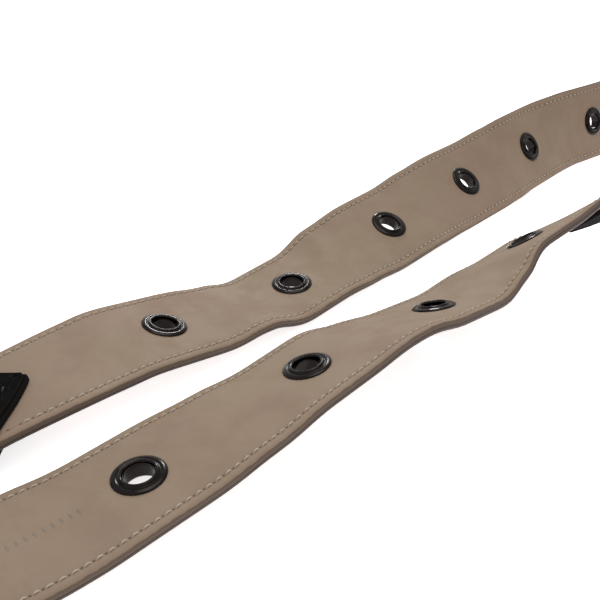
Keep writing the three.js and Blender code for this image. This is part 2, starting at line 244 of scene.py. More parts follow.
# Masks for painted shade: Holes marks the needle holes, and Row marks the stitch channel, which the
# leathers darken where shade falls.
def hole_nodes(tree, given):
    along, inset = lay_parts(tree)
    turns = sum_of(tree, "DIVIDE", along, given["Pitch"])
    near = sum_of(tree, "SUBTRACT", put(tree, "Math", {0: turns}, operation="FRACT").outputs[0], 0.5)
    from_hole = times(tree, near, given["Pitch"])
    from_row = sum_of(tree, "SUBTRACT", inset, given["Row Inset"])
    squares = [sum_of(tree, "POWER", offset, 2.0) for offset in (from_hole, from_row)]
    square = plus(tree, *squares)
    reach = put(tree, "Math", {0: square}, operation="SQRT").outputs[0]
    row = put(tree, "Math", {0: from_row}, operation="ABSOLUTE").outputs[0]
    core = times(tree, given["Hole Radius"], 0.55)
    return {
        "Holes": mask(tree, reach, core, given["Hole Radius"], 1, 0),
        "Row": mask(tree, row, 0.0, 0.0008, 1, 0),
    }


def wear_nodes(tree, given):
    place = put(tree, "TexCoord").outputs["Object"]
    stretch = put(tree, "Mapping", {"Vector": place, "Scale": (1.0, 9.0, 9.0)})
    hair = put(tree, "TexNoise", {"Vector": stretch.outputs["Vector"], "Scale": 900.0, "Detail": 4.0})
    cloud = put(tree, "TexNoise", {"Vector": place, "Scale": 120.0, "Detail": 3.0})
    return {
        "Scratches": mask(tree, hair.outputs["Fac"], 0.45, 0.62),
        "Tarnish": mask(tree, cloud.outputs["Fac"], 0.35, 0.7),
        "Height": times(tree, hair.outputs["Fac"], given["Depth"]),
    }


grain = group(
    "leather grain",
    [("Cells per Metre", "Float", 1500.0), ("Creases", "Float", 1.0)],
    [("Height", "Float"), ("Creases", "Float")],
    grain_nodes,
)
mottle = group(
    "hide mottling",
    [("Clouds per Metre", "Float", 9.0)],
    [("Clouds", "Float"), ("Blotches", "Float"), ("Specks", "Float")],
    mottle_nodes,
)
edges = group(
    "cut edge",
    [("Paint Reach", "Float", 0.0002), ("Rub Reach", "Float", 0.0015)],
    [("Cut Edge", "Float"), ("Rub", "Float")],
    edge_nodes,
)
needle_row = group(
    "needle row",
    [("Pitch", "Float", 0.0033), ("Row Inset", "Float", 0.003), ("Hole Radius", "Float", 0.0004)],
    [("Holes", "Float"), ("Row", "Float")],
    hole_nodes,
)
metal_wear = group(
    "metal wear",
    [("Depth", "Float", 1.0)],
    [("Scratches", "Float"), ("Tarnish", "Float"), ("Height", "Float")],
    wear_nodes,
)
print("groups:", ", ".join(g.name for g in bpy.data.node_groups))

# %% [markdown]
# ## The finishes
#
# The straps are vegetable-tanned leather: a satin face, a rough pinkish lining, and a cut edge that was
# painted dark brown. Tabs, patch and pads are black leather with a tighter grain. Bumps stay tiny, a few
# hundredths of a millimetre, because the shape itself comes from the meshes.

# %% Leather
STITCH = {"pitch": 2.75 * MM, "inset": 2.7 * MM}


def bumped(tree, height, strength, distance):
    inputs = {"Height": height, "Strength": strength, "Distance": distance}
    return put(tree, "Bump", inputs).outputs["Normal"]


def leather(name, light, dark, warm, edge, cells, creases, roughness, relief, holes=0.00042, **uniform):
    """Leather in two close tones, warm in places, with painted shade at the far end, stitch row and holes,
    and its painted edge colour.
    """

    def build(tree):
        skin = put(tree, "Group", {"Cells per Metre": cells, "Creases": creases}, node_tree=grain)
        hide = put(tree, "Group", node_tree=mottle)
        rim = put(tree, "Group", node_tree=edges)
        row_inputs = {"Pitch": STITCH["pitch"], "Row Inset": STITCH["inset"], "Hole Radius": holes}
        row = put(tree, "Group", row_inputs, node_tree=needle_row)
        base = blended(tree, hide.outputs["Blotches"], light, dark)
        base = blended(tree, times(tree, hide.outputs["Clouds"], 0.35), base, warm)
        # Painted shade: from 0.3 m to 0.5 m along, the colour goes over to the darker, warmer tone, where
        # the far end of the strap turns away from the light.
        far = mask(tree, lay_parts(tree)[0], 0.3, 0.5)
        base = blended(tree, times(tree, far, 0.85), base, warm)
        speck = times(tree, hide.outputs["Specks"], 0.22)
        base = blended(tree, speck, base, dark)
        # Painted shade along the stitch channel.
        base = blended(tree, times(tree, row.outputs["Row"], 0.16), base, edge)
        base = blended(tree, times(tree, rim.outputs["Rub"], 0.22), base, edge)
        base = blended(tree, rim.outputs["Cut Edge"], base, edge)
        # Painted shade inside the needle holes.
        hole_shade = times(tree, row.outputs["Holes"], 0.62)
        base = blended(tree, hole_shade, base, (0.03, 0.02, 0.015))
        rough = mask(tree, hide.outputs["Blotches"], 0.0, 1.0, roughness - 0.06, roughness + 0.08)
        normal = bumped(tree, skin.outputs["Height"], relief, 4e-5)
        return {"Base Color": base, "Roughness": rough, "Normal": normal}

    return material(name, build, **uniform)


beige = leather(
    "beige_leather",
    light=(0.245, 0.184, 0.128),
    dark=(0.222, 0.163, 0.114),
    warm=(0.222, 0.140, 0.110),
    edge=(0.105, 0.074, 0.056),
    cells=1900.0,
    creases=0.35,
    roughness=0.68,
    relief=0.35,
    Specular_IOR_Level=0.14,
    Sheen_Weight=0.02,
)
lining = leather(
    "lining_leather",
    light=(0.190, 0.120, 0.100),
    dark=(0.158, 0.099, 0.083),
    warm=(0.168, 0.102, 0.092),
    edge=(0.046, 0.029, 0.022),
    cells=1100.0,
    creases=0.15,
    roughness=0.8,
    relief=0.8,
    Specular_IOR_Level=0.2,
    Sheen_Weight=0.25,
)
black = leather(
    "black_leather",
    light=(0.0045, 0.0045, 0.0047),
    dark=(0.0032, 0.0032, 0.0034),
    warm=(0.0052, 0.0047, 0.0045),
    edge=(0.009, 0.007, 0.006),
    cells=1250.0,
    creases=1.2,
    roughness=0.76,
    relief=0.7,
    holes=0.00036,
    Specular_IOR_Level=0.02,
)
print("leathers:", beige.name, lining.name, black.name)

# %% Thread, elastic and rubber
def wave(tree, phase):
    return put(tree, "Math", {0: phase}, operation="SINE").outputs[0]


def thread_nodes(colour, shade):
    def build(tree):
        along, around = lay_parts(tree)
        phase = plus(tree, times(tree, along, 7.0), around)
        twist = wave(tree, times(tree, phase, TURN))
        ply = mask(tree, twist, -1.0, 0.4)
        fuzz = put(tree, "TexNoise", {"Scale": 4000.0}).outputs["Fac"]
        return {
            "Base Color": blended(tree, ply, shade, colour),
            "Roughness": mask(tree, fuzz, 0.3, 0.7, 0.6, 0.8),
            "Normal": bumped(tree, ply, 0.6, 5e-5),
        }

    return build


def thread(name, colour, shade, sheen):
    return material(name, thread_nodes(colour, shade), Sheen_Weight=sheen)


cream_thread = thread("cream_thread", (0.46, 0.38, 0.29), (0.27, 0.21, 0.16), 0.1)
black_thread = thread("black_thread", (0.015, 0.015, 0.015), (0.006, 0.006, 0.006), 0.05)


def webbing_nodes(tree):
    along, across = lay_parts(tree)
    weft, warp = (
        wave(tree, times(tree, way, TURN / (pitch * MM)))
        for way, pitch in ((along, 0.9), (across, 0.7))
    )
    weave = mask(tree, times(tree, weft, warp), -0.8, 0.8)
    lint = put(tree, "TexNoise", {"Scale": 1800.0, "Detail": 4.0}).outputs["Fac"]
    return {
        "Base Color": blended(tree, weave, (0.006, 0.006, 0.007), (0.022, 0.022, 0.024)),
        "Roughness": mask(tree, lint, 0.3, 0.7, 0.75, 0.95),
        "Normal": bumped(tree, plus(tree, weave, lint), 0.7, 1.2e-4),
    }


RUBBER = (0.016, 0.016, 0.016)
RUBBER_DUST = (0.03, 0.029, 0.028)


def rubber_nodes(tree):
    place = put(tree, "TexCoord").outputs["Object"]
    dust = put(tree, "TexNoise", {"Vector": place, "Scale": 600.0, "Detail": 5.0}).outputs["Fac"]
    return {
        "Base Color": blended(tree, mask(tree, dust, 0.45, 0.75), RUBBER, RUBBER_DUST),
        "Roughness": mask(tree, dust, 0.3, 0.7, 0.62, 0.82),
        "Normal": bumped(tree, dust, 0.3, 5e-5),
    }


webbing = material("black_elastic", webbing_nodes, Sheen_Weight=0.3)
rubber = material("rubber", rubber_nodes)
print("thread, webbing and rubber ready")

# %% Metal
def metal_nodes(clean, worn, roughness, depth, scratches=0.35):
    def build(tree):
        wear = put(tree, "Group", {"Depth": depth}, node_tree=metal_wear)
        scratched = times(tree, wear.outputs["Scratches"], scratches)
        base = blended(tree, wear.outputs["Tarnish"], clean, worn)
        base = blended(tree, scratched, base, tuple(2.2 * c for c in clean))
        return {
            "Base Color": base,
            "Roughness": mask(tree, wear.outputs["Tarnish"], 0.0, 1.0, roughness, roughness + 0.1),
            "Normal": bumped(tree, wear.outputs["Height"], 0.25, 2e-5),
        }

    return build


def metal(name, *look):
    return material(name, metal_nodes(*look), Metallic=1.0)


gunmetal = metal("gunmetal", (0.021, 0.018, 0.017), (0.013, 0.011, 0.01), 0.12, 0.0, 0.04)
clip_metal = metal("clip_metal", (0.15, 0.147, 0.15), (0.1, 0.096, 0.095), 0.26, 1.0)
steel = metal("spring_steel", (0.42, 0.41, 0.4), (0.3, 0.29, 0.28), 0.24, 1.0)
print("metals:", gunmetal.name, clip_metal.name, steel.name)

# %% [markdown]
# ## Floor and light
#
# A pale floor under a large soft light from above, with a smaller one behind for highlights on the metal.
# The world fills in from all round, and the floor gives off a little light itself, so no shadow is deep.

# %% Floor and light
def lamp(name, place, target, size, watts):
    light = bpy.data.lights.new(name, "AREA")
    light.shape = "DISK"
    light.size = size
    light.energy = watts
    made = bpy.data.objects.new(name, light)
    made.location = place
    made.rotation_euler = (Vector(target) - Vector(place)).to_track_quat("-Z", "Y").to_euler()
    bpy.context.scene.collection.objects.link(made)
    return made


def floor_nodes(tree):
    place = put(tree, "TexCoord").outputs["Object"]
    cloud = put(tree, "TexNoise", {"Vector": place, "Scale": 3.0, "Detail": 2.0}).outputs["Fac"]
    return {"Base Color": blended(tree, cloud, (0.93, 0.93, 0.93), (0.95, 0.95, 0.95))}


PALE = (1.0, 1.0, 1.0, 1.0)
centre = (cad_box[0] + cad_box[1]) / 2
sheet = bmesh.new()
bmesh.ops.create_grid(sheet, x_segments=8, y_segments=8, size=6.0)
floor_mesh = bpy.data.meshes.new("floor")
sheet.to_mesh(floor_mesh)
sheet.free()
floor = bpy.data.objects.new("floor", floor_mesh)
floor.location = (centre.x, centre.y, -0.1 * MM)
glow = {"Emission_Color": PALE, "Emission_Strength": 0.7}
floor_mesh.materials.append(material("pale_floor", floor_nodes, Roughness=0.9, **glow))
bpy.context.scene.collection.objects.link(floor)

world = bpy.data.worlds.new("studio")
world.use_nodes = True
world.node_tree.nodes["Background"].inputs["Color"].default_value = PALE
world.node_tree.nodes["Background"].inputs["Strength"].default_value = 0.84
bpy.context.scene.world = world
bpy.context.scene.view_settings.view_transform = "Standard"
lamp("overhead", (-0.45, 0.1, 1.5), (-0.45, 0.0, 0.0), 1.2, 9.0)
lamp("behind", (0.15, 0.9, 0.7), (-0.45, 0.0, 0.0), 0.22, 4.5)

# %% [markdown]
# ## Routes
#
# Each strap lies along a smooth line through listed stations: x, y, the height of the face's lower
# edge, and the roll. A Catmull-Rom spline passes through every station, so what is typed is what the
# strap does. Rigid eyelets hold the leather flat, so the frame stays still under each of them.

# %% Sizes of the straps
GAP = 0.3
WIDTH = 35.0
HALF = WIDTH / 2
PLY = 1.3
STACK = 2 * PLY + GAP
TAB = {"length": 60.0, "thick": 1.5, "blunt": 1.0, "step": 1.2, "over": 1.1}
TAB |= {"narrow": 0.4, "over_start": 9.0, "seam_start": 12.0, "seam_inset": 3.0}
PATCH = {"thick": 1.5, "spread": math.radians(30), "lap": 42.0, "rear": 34.0}
PATCH |= {"lead_in": 36.0, "lead_roll": 6.0}
RIVET = {"from_butt": 22.0, "bore": 1.7}
FACE = PATCH["thick"] + GAP + STACK
FOLD = STACK / 2 + GAP
EASING = 24.0  # how far from an eyelet the strap starts to come level with it
BUTT = HALF / math.tan(PATCH["spread"]) + 2 * GAP
ARM_TIP = BUTT + PATCH["lap"]
EYELET = {"first": TAB["length"] + 44.0, "pitch": 53.0, "count": 13, "flange": 6.65, "bore": 4.4}
EYELETS = [EYELET["first"] + EYELET["pitch"] * i for i in range(EYELET["count"])]

LEFT = [
    (-801, 18, FACE, 0),
    (-790, 18, 4.9, 0),
    (-776, 18.2, 6.6, 0),
    (-761, 18.1, 9.5, 0),
    (-745, 17.5, 11.5, 0),
    (-715, 19.5, 10.5, -5),
    (-690, 21, 7.5, -5),
    (-670, 22, 6.7, 1),
    (-649, 23, 5, 0),
    (-620, 25.5, 4.6, -13),
    (-591, 27.5, 4.2, -23),
    (-562, 30.5, 4, -31),
    (-535, 32.5, 3.3, -40),
    (-507, 35, 2.8, -49),
    (-479, 37.5, 2.5, -60),
    (-451, 37.5, 2.6, -70),
    (-423, 36, 3.4, -72),
    (-380, 46, 3, -76),
    (-335, 66, 2.8, -80),
    (-285, 90, 2.6, -83),
    (-235, 113, 2.6, -84),
    (-190, 127, 2.8, -80),
    (-152, 118, 5, -62),
]
RIGHT = [
    (-841.5, -25, FACE, 0),
    (-810, -25, FACE, 0),
    (-784, -25, 4.8, 0),
    (-762, -25.5, 3.7, 1),
    (-740, -26, 4.8, 3),
    (-705, -26, 7.4, 8.5),
    (-673, -25.5, 9.7, 16),
    (-651, -25.5, 8.2, 21),
    (-632, -25.5, 6, 20),
    (-614, -24, 4.7, 23),
    (-589, -22, 6.7, 34),
    (-557, -23, 8.8, 42),
    (-524, -27.5, 9.6, 50),
    (-488, -33, 8.2, 58),
    (-450, -38, 5, 66),
    (-390, -46, 3.6, 70),
    (-330, -58, 3.4, 72),
    (-270, -71, 3.6, 70),
    (-210, -80, 3.5, 62),
    (-160, -79, 4.3, 42),
]


def arm(side):
    """The last stations of a shoulder strap, where it runs straight into the patch."""
    places = [(ARM_TIP + PATCH["lead_in"], PATCH["lead_roll"]), (ARM_TIP, 0), (BUTT, 0)]
    x, y = -math.cos(PATCH["spread"]), side * math.sin(PATCH["spread"])
    return [(reach * x, reach * y, FACE, -side * roll) for reach, roll in places]


print("eyelets every", EYELET["pitch"], "mm from", EYELETS[0])

# %% The route
class Route:
    """A spline through stations in millimetres, and the frame of the strap at any distance along it."""

    def __init__(self, stations, flats=()):
        rolls = [math.radians(roll) for *_, roll in stations]
        rows = [(x, y, low + HALF * abs(math.sin(r)), r) for (x, y, low, _), r in zip(stations, rolls)]
        rows = np.array(rows, float)
        self.rows = np.vstack([2 * rows[0] - rows[1], rows, 2 * rows[-1] - rows[-2]])
        self.spans = len(rows) - 1
        self.steps = np.linspace(0, self.spans, self.spans * 60 + 1)
        points = self.spline(self.steps)[0][:, :3]
        self.run = np.concatenate([[0], np.cumsum(np.linalg.norm(np.diff(points, axis=0), axis=1))])
        self.length = self.run[-1]
        self.flats = np.array(flats, float)

    def spline(self, t):
        """Value and slope of x, y, z and roll at a parameter that counts stations."""
        i = np.clip(np.floor(t), 0, self.spans - 1).astype(int)
        f = (t - i)[:, None]
        a, b, c, d = (self.rows[i + k] for k in range(4))
        square, cube = 2 * a - 5 * b + 4 * c - d, 3 * b - a - 3 * c + d
        value = (2 * b + (c - a) * f + square * f**2 + cube * f**3) / 2
        return value, (c - a + 2 * square * f + 3 * cube * f**2) / 2

    def free(self, distance):
        """Centre, along, left and face at each distance, before any eyelet holds the strap flat."""
        inside = np.clip(distance, 0, self.length)
        value, slope = self.spline(np.interp(inside, self.run, self.steps))
        along = slope[:, :3] / np.linalg.norm(slope[:, :3], axis=1, keepdims=True)
        level = np.cross([0, 0, 1.0], along)
        level /= np.linalg.norm(level, axis=1, keepdims=True)
        roll = value[:, 3:]
        left = np.cos(roll) * level - np.sin(roll) * np.cross(along, level)
        centre = value[:, :3] + along * (distance - inside)[:, None]
        return centre, along, left, np.cross(along, left)

    def frames(self, distance):
        """The same, held flat under each eyelet and easing back into the curve beside it."""
        distance = np.atleast_1d(np.asarray(distance, float))
        found = self.free(distance)
        for flat in self.flats:
            far = np.abs(distance - flat)
            share = np.clip((EASING - far) / (EASING - EYELET["flange"]), 0, 1)
            share = (share * share * (3 - 2 * share))[:, None]
            held = [np.repeat(part, len(distance), axis=0) for part in self.free(np.array([flat]))]
            held[0] = held[0] + held[1] * (distance - flat)[:, None]
            found = [a * (1 - share) + b * share for a, b in zip(found, held)]
        centre, along, left, face = found
        left = left / np.linalg.norm(left, axis=1, keepdims=True)
        face = face / np.linalg.norm(face, axis=1, keepdims=True)
        return centre, along, left, face


REAR_LENGTH = 150.0
CORNER = 6.0
REAR_FOLD = PATCH["rear"] + REAR_LENGTH
REAR_START = CORNER - BUTT
routes = {
    "left": Route(LEFT + arm(1), EYELETS),
    "right": Route(RIGHT + arm(-1), EYELETS),
    "rear": Route([(x, 0, FACE, 0) for x in (REAR_FOLD, (REAR_FOLD + REAR_START) / 2, REAR_START)]),
}
print("lengths in mm:", {side: round(float(route.length), 1) for side, route in routes.items()})

# %% [markdown]
# ## Bands
#
# A strap is a band: one closed section, repeated at many places along its route. The section is written
# as insets from the cut edge and heights off the face, from the middle out to the edge and back under, so
# the same few numbers serve the left half, the right half and a band of any width.

# %% Mesh helpers
def cleaned(mesh):
    """Welds what coincides, drops empty faces and turns every face outwards."""
    loose = bmesh.new()
    loose.from_mesh(mesh)
    bmesh.ops.remove_doubles(loose, verts=loose.verts, dist=1e-7)
    bmesh.ops.dissolve_degenerate(loose, edges=loose.edges, dist=1e-7)
    bmesh.ops.recalc_face_normals(loose, faces=loose.faces)
    loose.to_mesh(mesh)
    loose.free()


def tube_faces(rings, sides):
    """The faces of a closed tube whose points come ring by ring."""
    faces = [
        (i * sides + j, i * sides + (j + 1) % sides, (i + 1) * sides + (j + 1) % sides, (i + 1) * sides + j)
        for i in range(rings - 1)
        for j in range(sides)
    ]
    return faces + [tuple(reversed(range(sides))), tuple((rings - 1) * sides + j for j in range(sides))]


def shown(name, points, faces, finish, body, replaced=(), lay=None, smooth=True):
    """A mesh piece in metres from points in millimetres, riding on its body."""
    mesh = bpy.data.meshes.new(name)
    mesh.from_pydata((np.asarray(points, float) * MM).tolist(), [], [list(map(int, f)) for f in faces])
    if lay is not None:
        layer = mesh.uv_layers.new(name="lay")
        corners = np.empty(len(mesh.loops), int)
        mesh.loops.foreach_get("vertex_index", corners)
        layer.data.foreach_set("uv", (np.asarray(lay, float)[corners] * MM).astype(np.float32).ravel())
    mesh.polygons.foreach_set("use_smooth", [smooth] * len(mesh.polygons))
    mesh.materials.append(finish)
    piece = bpy.data.objects.new(name, mesh)
    bpy.context.scene.collection.objects.link(piece)
    cleaned(mesh)
    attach(piece, body)
    if replaced:
        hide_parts(*replaced)
    return piece


def section(top, under):
    """One closed section from two half outlines of (inset, height), as (side, inset, height) rows."""
    right = [(-1, inset, height) for inset, height in top[1:]]
    right_under = [(-1, inset, height) for inset, height in under[:-1]]
    middle_under = [(0, *under[-1])]
    left_under = [(1, inset, height) for inset, height in reversed(under[:-1])]
    left = [(1, inset, height) for inset, height in reversed(top[1:])]
    return [(0, *top[0])] + right + right_under + middle_under + left_under + left


def band(frames, distances, reaches, rows):
    """Points, faces and lay of a section swept through frames. A reach is half the width at a frame."""
    centre, _, left, face = frames
    side = np.array([row[0] for row in rows], float)
    inset = np.array([row[1] for row in rows], float)
    height = np.array([row[2] for row in rows], float)
    reach = np.asarray(reaches, float)[:, None]
    across = side * np.maximum(reach - np.maximum(inset, 0), 0)
    points = centre[:, None] + left[:, None] * across[..., None] + face[:, None] * height[None, :, None]
    count = len(rows)
    ring = np.arange(count)
    faces = []
    for i in range(len(distances) - 1):
        a, b = i * count, (i + 1) * count
        faces += [(a + j, a + (j + 1) % count, b + (j + 1) % count, b + j) for j in ring]
    faces.append(tuple(ring[::-1]))
    faces.append(tuple((len(distances) - 1) * count + ring))
    from_edge = np.where(side == 0, reach, np.minimum(inset, reach))
    lay = np.stack([np.repeat(np.asarray(distances, float)[:, None], count, 1), from_edge], -1)
    return points.reshape(-1, 3), faces, lay.reshape(-1, 2)


def bored(piece, cutter):
    """Cuts the cutter out of a piece for good, and removes the cutter."""
    cut = piece.modifiers.new("bores", "BOOLEAN")
    cut.object = cutter
    cut.solver = "EXACT"
    bpy.context.view_layer.update()
    ready = piece.evaluated_get(bpy.context.evaluated_depsgraph_get())
    mesh = bpy.data.meshes.new_from_object(ready)
    piece.modifiers.clear()
    old = piece.data
    piece.data = mesh
    mesh.name = piece.name
    bpy.data.meshes.remove(old)
    bpy.data.objects.remove(cutter)
    return piece


def rivet_place(side):
    """Where a strap's rivet stands along its route."""
    if side == "rear":
        return REAR_FOLD - PATCH["rear"] + HALF
    return routes[side].length - RIVET["from_butt"]


def posts(route, places, radius, low, high, sides=40):
    """Upright posts at places on a route, as one object to cut with."""
    centre, along, left, face = route.frames(places)
    turn = np.linspace(0, 2 * math.pi, sides, endpoint=False)
    points, faces = [], []
    for c, a, l, f in zip(centre, along, left, face):
        start = len(points)
        for height in (low, high):
            points += [c + radius * (math.cos(t) * a + math.sin(t) * l) + height * f for t in turn]
        faces.append(tuple(start + i for i in reversed(range(sides))))
        faces.append(tuple(start + sides + i for i in range(sides)))
        for i in range(sides):
            k = (i + 1) % sides
            faces.append((start + i, start + k, start + sides + k, start + sides + i))
    mesh = bpy.data.meshes.new("posts")
    mesh.from_pydata((np.array(points) * MM).tolist(), [], faces)
    made = bpy.data.objects.new("posts", mesh)
    bpy.context.scene.collection.objects.link(made)
    return made


print("mesh helpers ready")

# %% [markdown]
# ## The shoulder straps
#
# Each is two plies, glued and then stitched along both edges. The face ply has a rounded, burnished edge
# and a shallow channel where the thread pulls the leather in. Between two needle holes the leather swells
# a little, which gives the real strap its quilted rim, so the sections come four to a stitch.

# %% Straps
CHANNEL = [(17.5, 0), (13.5, 0), (11, 0), (9, 0), (7, 0), (5.4, 0), (4.2, 0), (3.4, -0.05), (2.7, -0.2)]
RIM = [(2.0, -0.05), (1.4, 0.0), (0.9, -0.06), (0.5, -0.19), (0.22, -0.4), (0.04, -0.7), (-0.1, -0.95)]
SEAM = [(-0.2, -1.25), (-0.3, -1.42), (3, -1.42), (17.5, -1.42)]
STRAP_START = 2.0
CREST = 0.11
FREE_STITCHES = (48.0, 30.0)


def ply(name, side, flip, finish, slot, node):
    route = routes[side]
    quarter = STITCH["pitch"] / MM / 4
    count = int(round((route.length - STRAP_START) / quarter))
    places = np.linspace(STRAP_START, route.length, count + 1)
    rows = section(CHANNEL + RIM, SEAM)
    if flip:
        rows = [(way, inset, -STACK - height) for way, inset, height in rows]
    points, faces, lay = band(route.frames(places), places, np.full(len(places), HALF), rows)
    normal = np.repeat(route.frames(places)[3], len(rows), axis=0)
    swell = 0.5 - 0.5 * np.cos(2 * math.pi * (lay[:, 0] * MM / STITCH["pitch"] - 0.5))
    near_row = np.exp(-(((lay[:, 1] - 2.3) / 1.5) ** 2))
    height = np.tile([row[2] for row in rows], len(places))
    outer = (height < -STACK + 0.6) if flip else (height > -0.6)
    lift = CREST * (swell - 0.5) * near_row * outer * (-1 if flip else 1)
    points = points + normal * lift[:, None]
    piece = shown(name, points, faces, finish, bodies[node], [node], lay)
    bored(piece, posts(route, EYELETS, EYELET["bore"], -STACK - 2, 2))
    return bored(piece, posts(route, [rivet_place(side)], RIVET["bore"], -STACK - 2, 2))


for side in ("left", "right"):
    face_ply = ply(f"strap_{side}", side, False, beige, "beige_leather", f"strap_face_{side}")
    under_ply = ply(f"strap_back_{side}", side, True, lining, "lining_leather", f"strap_lining_{side}")
    print(face_ply.name, len(face_ply.data.polygons), under_ply.name, len(under_ply.data.polygons))

# %% [markdown]
# ## Thread
#
# A stitch could be a dash painted in the material. Here each one is a short swelling length of thread that
# comes out of one needle hole, lies along the channel and dives into the next, so it catches the light.

# %% Stitches
def stitch_shape(length, radius=0.27, rings=7, sides=6):
    """Points (along, across, up), faces and lay of one stitch, centred on the origin."""
    t = np.linspace(0, 1, rings)
    along = (t - 0.5) * length
    up = -0.34 + 0.46 * np.sin(math.pi * t**0.8) ** 0.7
    thick = radius * (0.45 + 0.55 * np.sin(math.pi * t) ** 0.5)
    turn = np.linspace(0, 2 * math.pi, sides, endpoint=False)
    points = [(a, r * math.cos(q), u + r * math.sin(q)) for a, u, r in zip(along, up, thick) for q in turn]
    faces = tube_faces(rings, sides)
    lay = [(a, q / (2 * math.pi)) for a in along for q in turn]
    return np.array(points), faces, np.array(lay) / MM


def sewn(name, runs, finish, body, pitch=STITCH["pitch"] / MM, lean=0.12, radius=0.27):
    """One piece for rows of stitches. A run is (frames, across, height, up or down) for its stitches."""
    shape, shape_faces, shape_lay = stitch_shape(pitch * 0.7, radius)
    points, faces, lay = [], [], []
    for (centre, along, left, face), across, height, way in runs:
        for c, a, l, f, w in zip(centre, along, left, face, np.broadcast_to(across, len(centre))):
            start = sum(map(len, points))
            x, y, z = shape.T
            y = y + lean * x
            spot = c + l * w + f * height
            points.append(spot + np.outer(x, a) + np.outer(y, l) + np.outer(z * way, f))
            faces += [tuple(start + k for k in corner) for corner in shape_faces]
            lay.append(shape_lay)
    return shown(name, np.vstack(points), faces, finish, body, lay=np.vstack(lay))


def stitch_places(route, start, stop):
    """The middles of the stitches between two distances, on the grid that the needle holes keep."""
    pitch = STITCH["pitch"] / MM
    first, last = math.ceil(start / pitch), math.floor(stop / pitch)
    return np.arange(first, last) * pitch + pitch


def stitched(side):
    route = routes[side]
    places = stitch_places(route, FREE_STITCHES[0], route.length - FREE_STITCHES[1])
    frames = route.frames(places)
    across = HALF - STITCH["inset"] / MM
    sides = ((-0.05, 1), (-STACK + 0.05, -1))
    runs = [(frames, way * across, height, up) for way in (1, -1) for height, up in sides]
    thread = sewn(f"stitching_{side}", runs, cream_thread, "straps")
    print(thread.name, len(places) * len(runs), "stitches")


for side in ("left", "right"):
    stitched(side)

# %% [markdown]
# ## Eyelets
#
# A two-part eyelet is turned work: a sloped flange, a groove, a rolled crown round the hole, a barrel
# through the leather and a washer clinched behind. One outline spun about its axis gives the whole thing,
# and all twenty-six share that mesh.

# %% Eyelets
def spun(name, outline, steps=56):
    """A closed outline of (radius, height) in millimetres, turned about z."""
    turn = np.linspace(0, 2 * math.pi, steps, endpoint=False)
    points = [(r * math.cos(t) * MM, r * math.sin(t) * MM, z * MM) for t in turn for r, z in outline]
    count = len(outline)
    faces = []
    for i in range(steps):
        a, b = i * count, ((i + 1) % steps) * count
        faces += [(a + j, b + j, b + (j + 1) % count, a + (j + 1) % count) for j in range(count)]
    mesh = bpy.data.meshes.new(name)
    mesh.from_pydata(points, [], faces)
    mesh.polygons.foreach_set("use_smooth", [True] * len(mesh.polygons))
    cleaned(mesh)
    return mesh


def stood(name, mesh, route, place, body, node, height=0.0):
    """Stands a turned mesh on a route, its z along the face."""
    centre, along, left, face = (part[0] for part in route.frames(place))
    turn = Matrix(np.column_stack([along, left, face]).tolist()).to_4x4()
    piece = bpy.data.objects.new(name, mesh)
    piece.matrix_world = Matrix.Translation(Vector((centre + height * face) * MM)) @ turn
    bpy.context.scene.collection.objects.link(piece)
    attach(piece, body)
    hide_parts(node)
    return piece


FLANGE = [(6.35, 0.02), (6.6, 0.06), (6.65, 0.2), (6.55, 0.36), (6.25, 0.54), (5.85, 0.68), (5.5, 0.74)]
GROOVE = [(5.3, 0.7), (5.15, 0.6), (5.02, 0.57), (4.9, 0.62), (4.8, 0.78)]
CROWN = [(4.68, 0.98), (4.5, 1.13), (4.28, 1.19), (4.06, 1.14), (3.88, 0.98), (3.78, 0.74), (3.75, 0.4)]
BARREL = [(3.75, -2.9), (3.8, -3.3), (3.95, -3.6), (4.25, -3.74), (4.7, -3.72)]
WASHER = [(5.2, -3.6), (5.5, -3.45), (5.65, -3.2), (5.6, -3.0), (5.4, -2.93), (4.25, -2.93), (4.25, 0.02)]
eyelet_mesh = spun("eyelet", FLANGE + GROOVE + CROWN + BARREL + WASHER)
eyelet_mesh.materials.append(gunmetal)
for side in ("left", "right"):
    for i, place in enumerate(EYELETS):
        node = f"eyelet_{side}_{i + 1:02d}"
        stood(f"fine_{node}", eyelet_mesh, routes[side], place, "straps", node)
print("eyelets:", 2 * len(EYELETS), "of", len(eyelet_mesh.polygons), "faces")

# %% [markdown]
# ## Shoulder pads
#
# A pad is a pointed strip of black leather over thin foam, sewn under the strap where it crosses the
# shoulder. It is a band like the strap, with a fuller underside, and its width narrows to each point.

# %% Pads
PAD = {"start": 286.0, "length": 190.0, "half": 12.5, "top": -STACK - 0.12, "under": -STACK - 2.4}
PAD |= {"clear": 7, "hole": 6.4, "seam_start": 17, "seam_inset": 2.4}


def pointed(reach, blunt, from_tip):
    return np.minimum(reach, blunt + np.maximum(0, from_tip))


def pad(side):
    route = routes[side]
    stop = PAD["start"] + PAD["length"]
    places = np.linspace(PAD["start"], stop, 181)
    reaches = pointed(PAD["half"], 1.0, np.minimum(places - PAD["start"], stop - places))
    top = PAD["top"]
    low = PAD["under"]
    upper = [(12.5, top), (8, top), (3, top), (0.6, top - 0.02)]
    rim = [(0.2, top - 0.15), (0.0, top - 0.5), (0.02, low + 0.75), (0.3, low + 0.4), (0.9, low + 0.25)]
    channel = [(1.7, low + 0.24), (2.4, low + 0.36), (3.1, low + 0.22)]
    channel += [(4.5, low + 0.04), (8, low), (12.5, low)]
    points, faces, lay = band(route.frames(places), places, reaches, section(upper + rim, channel))
    name = f"pad_{side}"
    piece = shown(name, points, faces, black, "straps", [f"shoulder_pad_{side}"], lay)
    inside = [place for place in EYELETS if PAD["start"] - PAD["clear"] < place < stop + PAD["clear"]]
    bored(piece, posts(route, inside, PAD["hole"], low - 2, top + 1))
    return piece


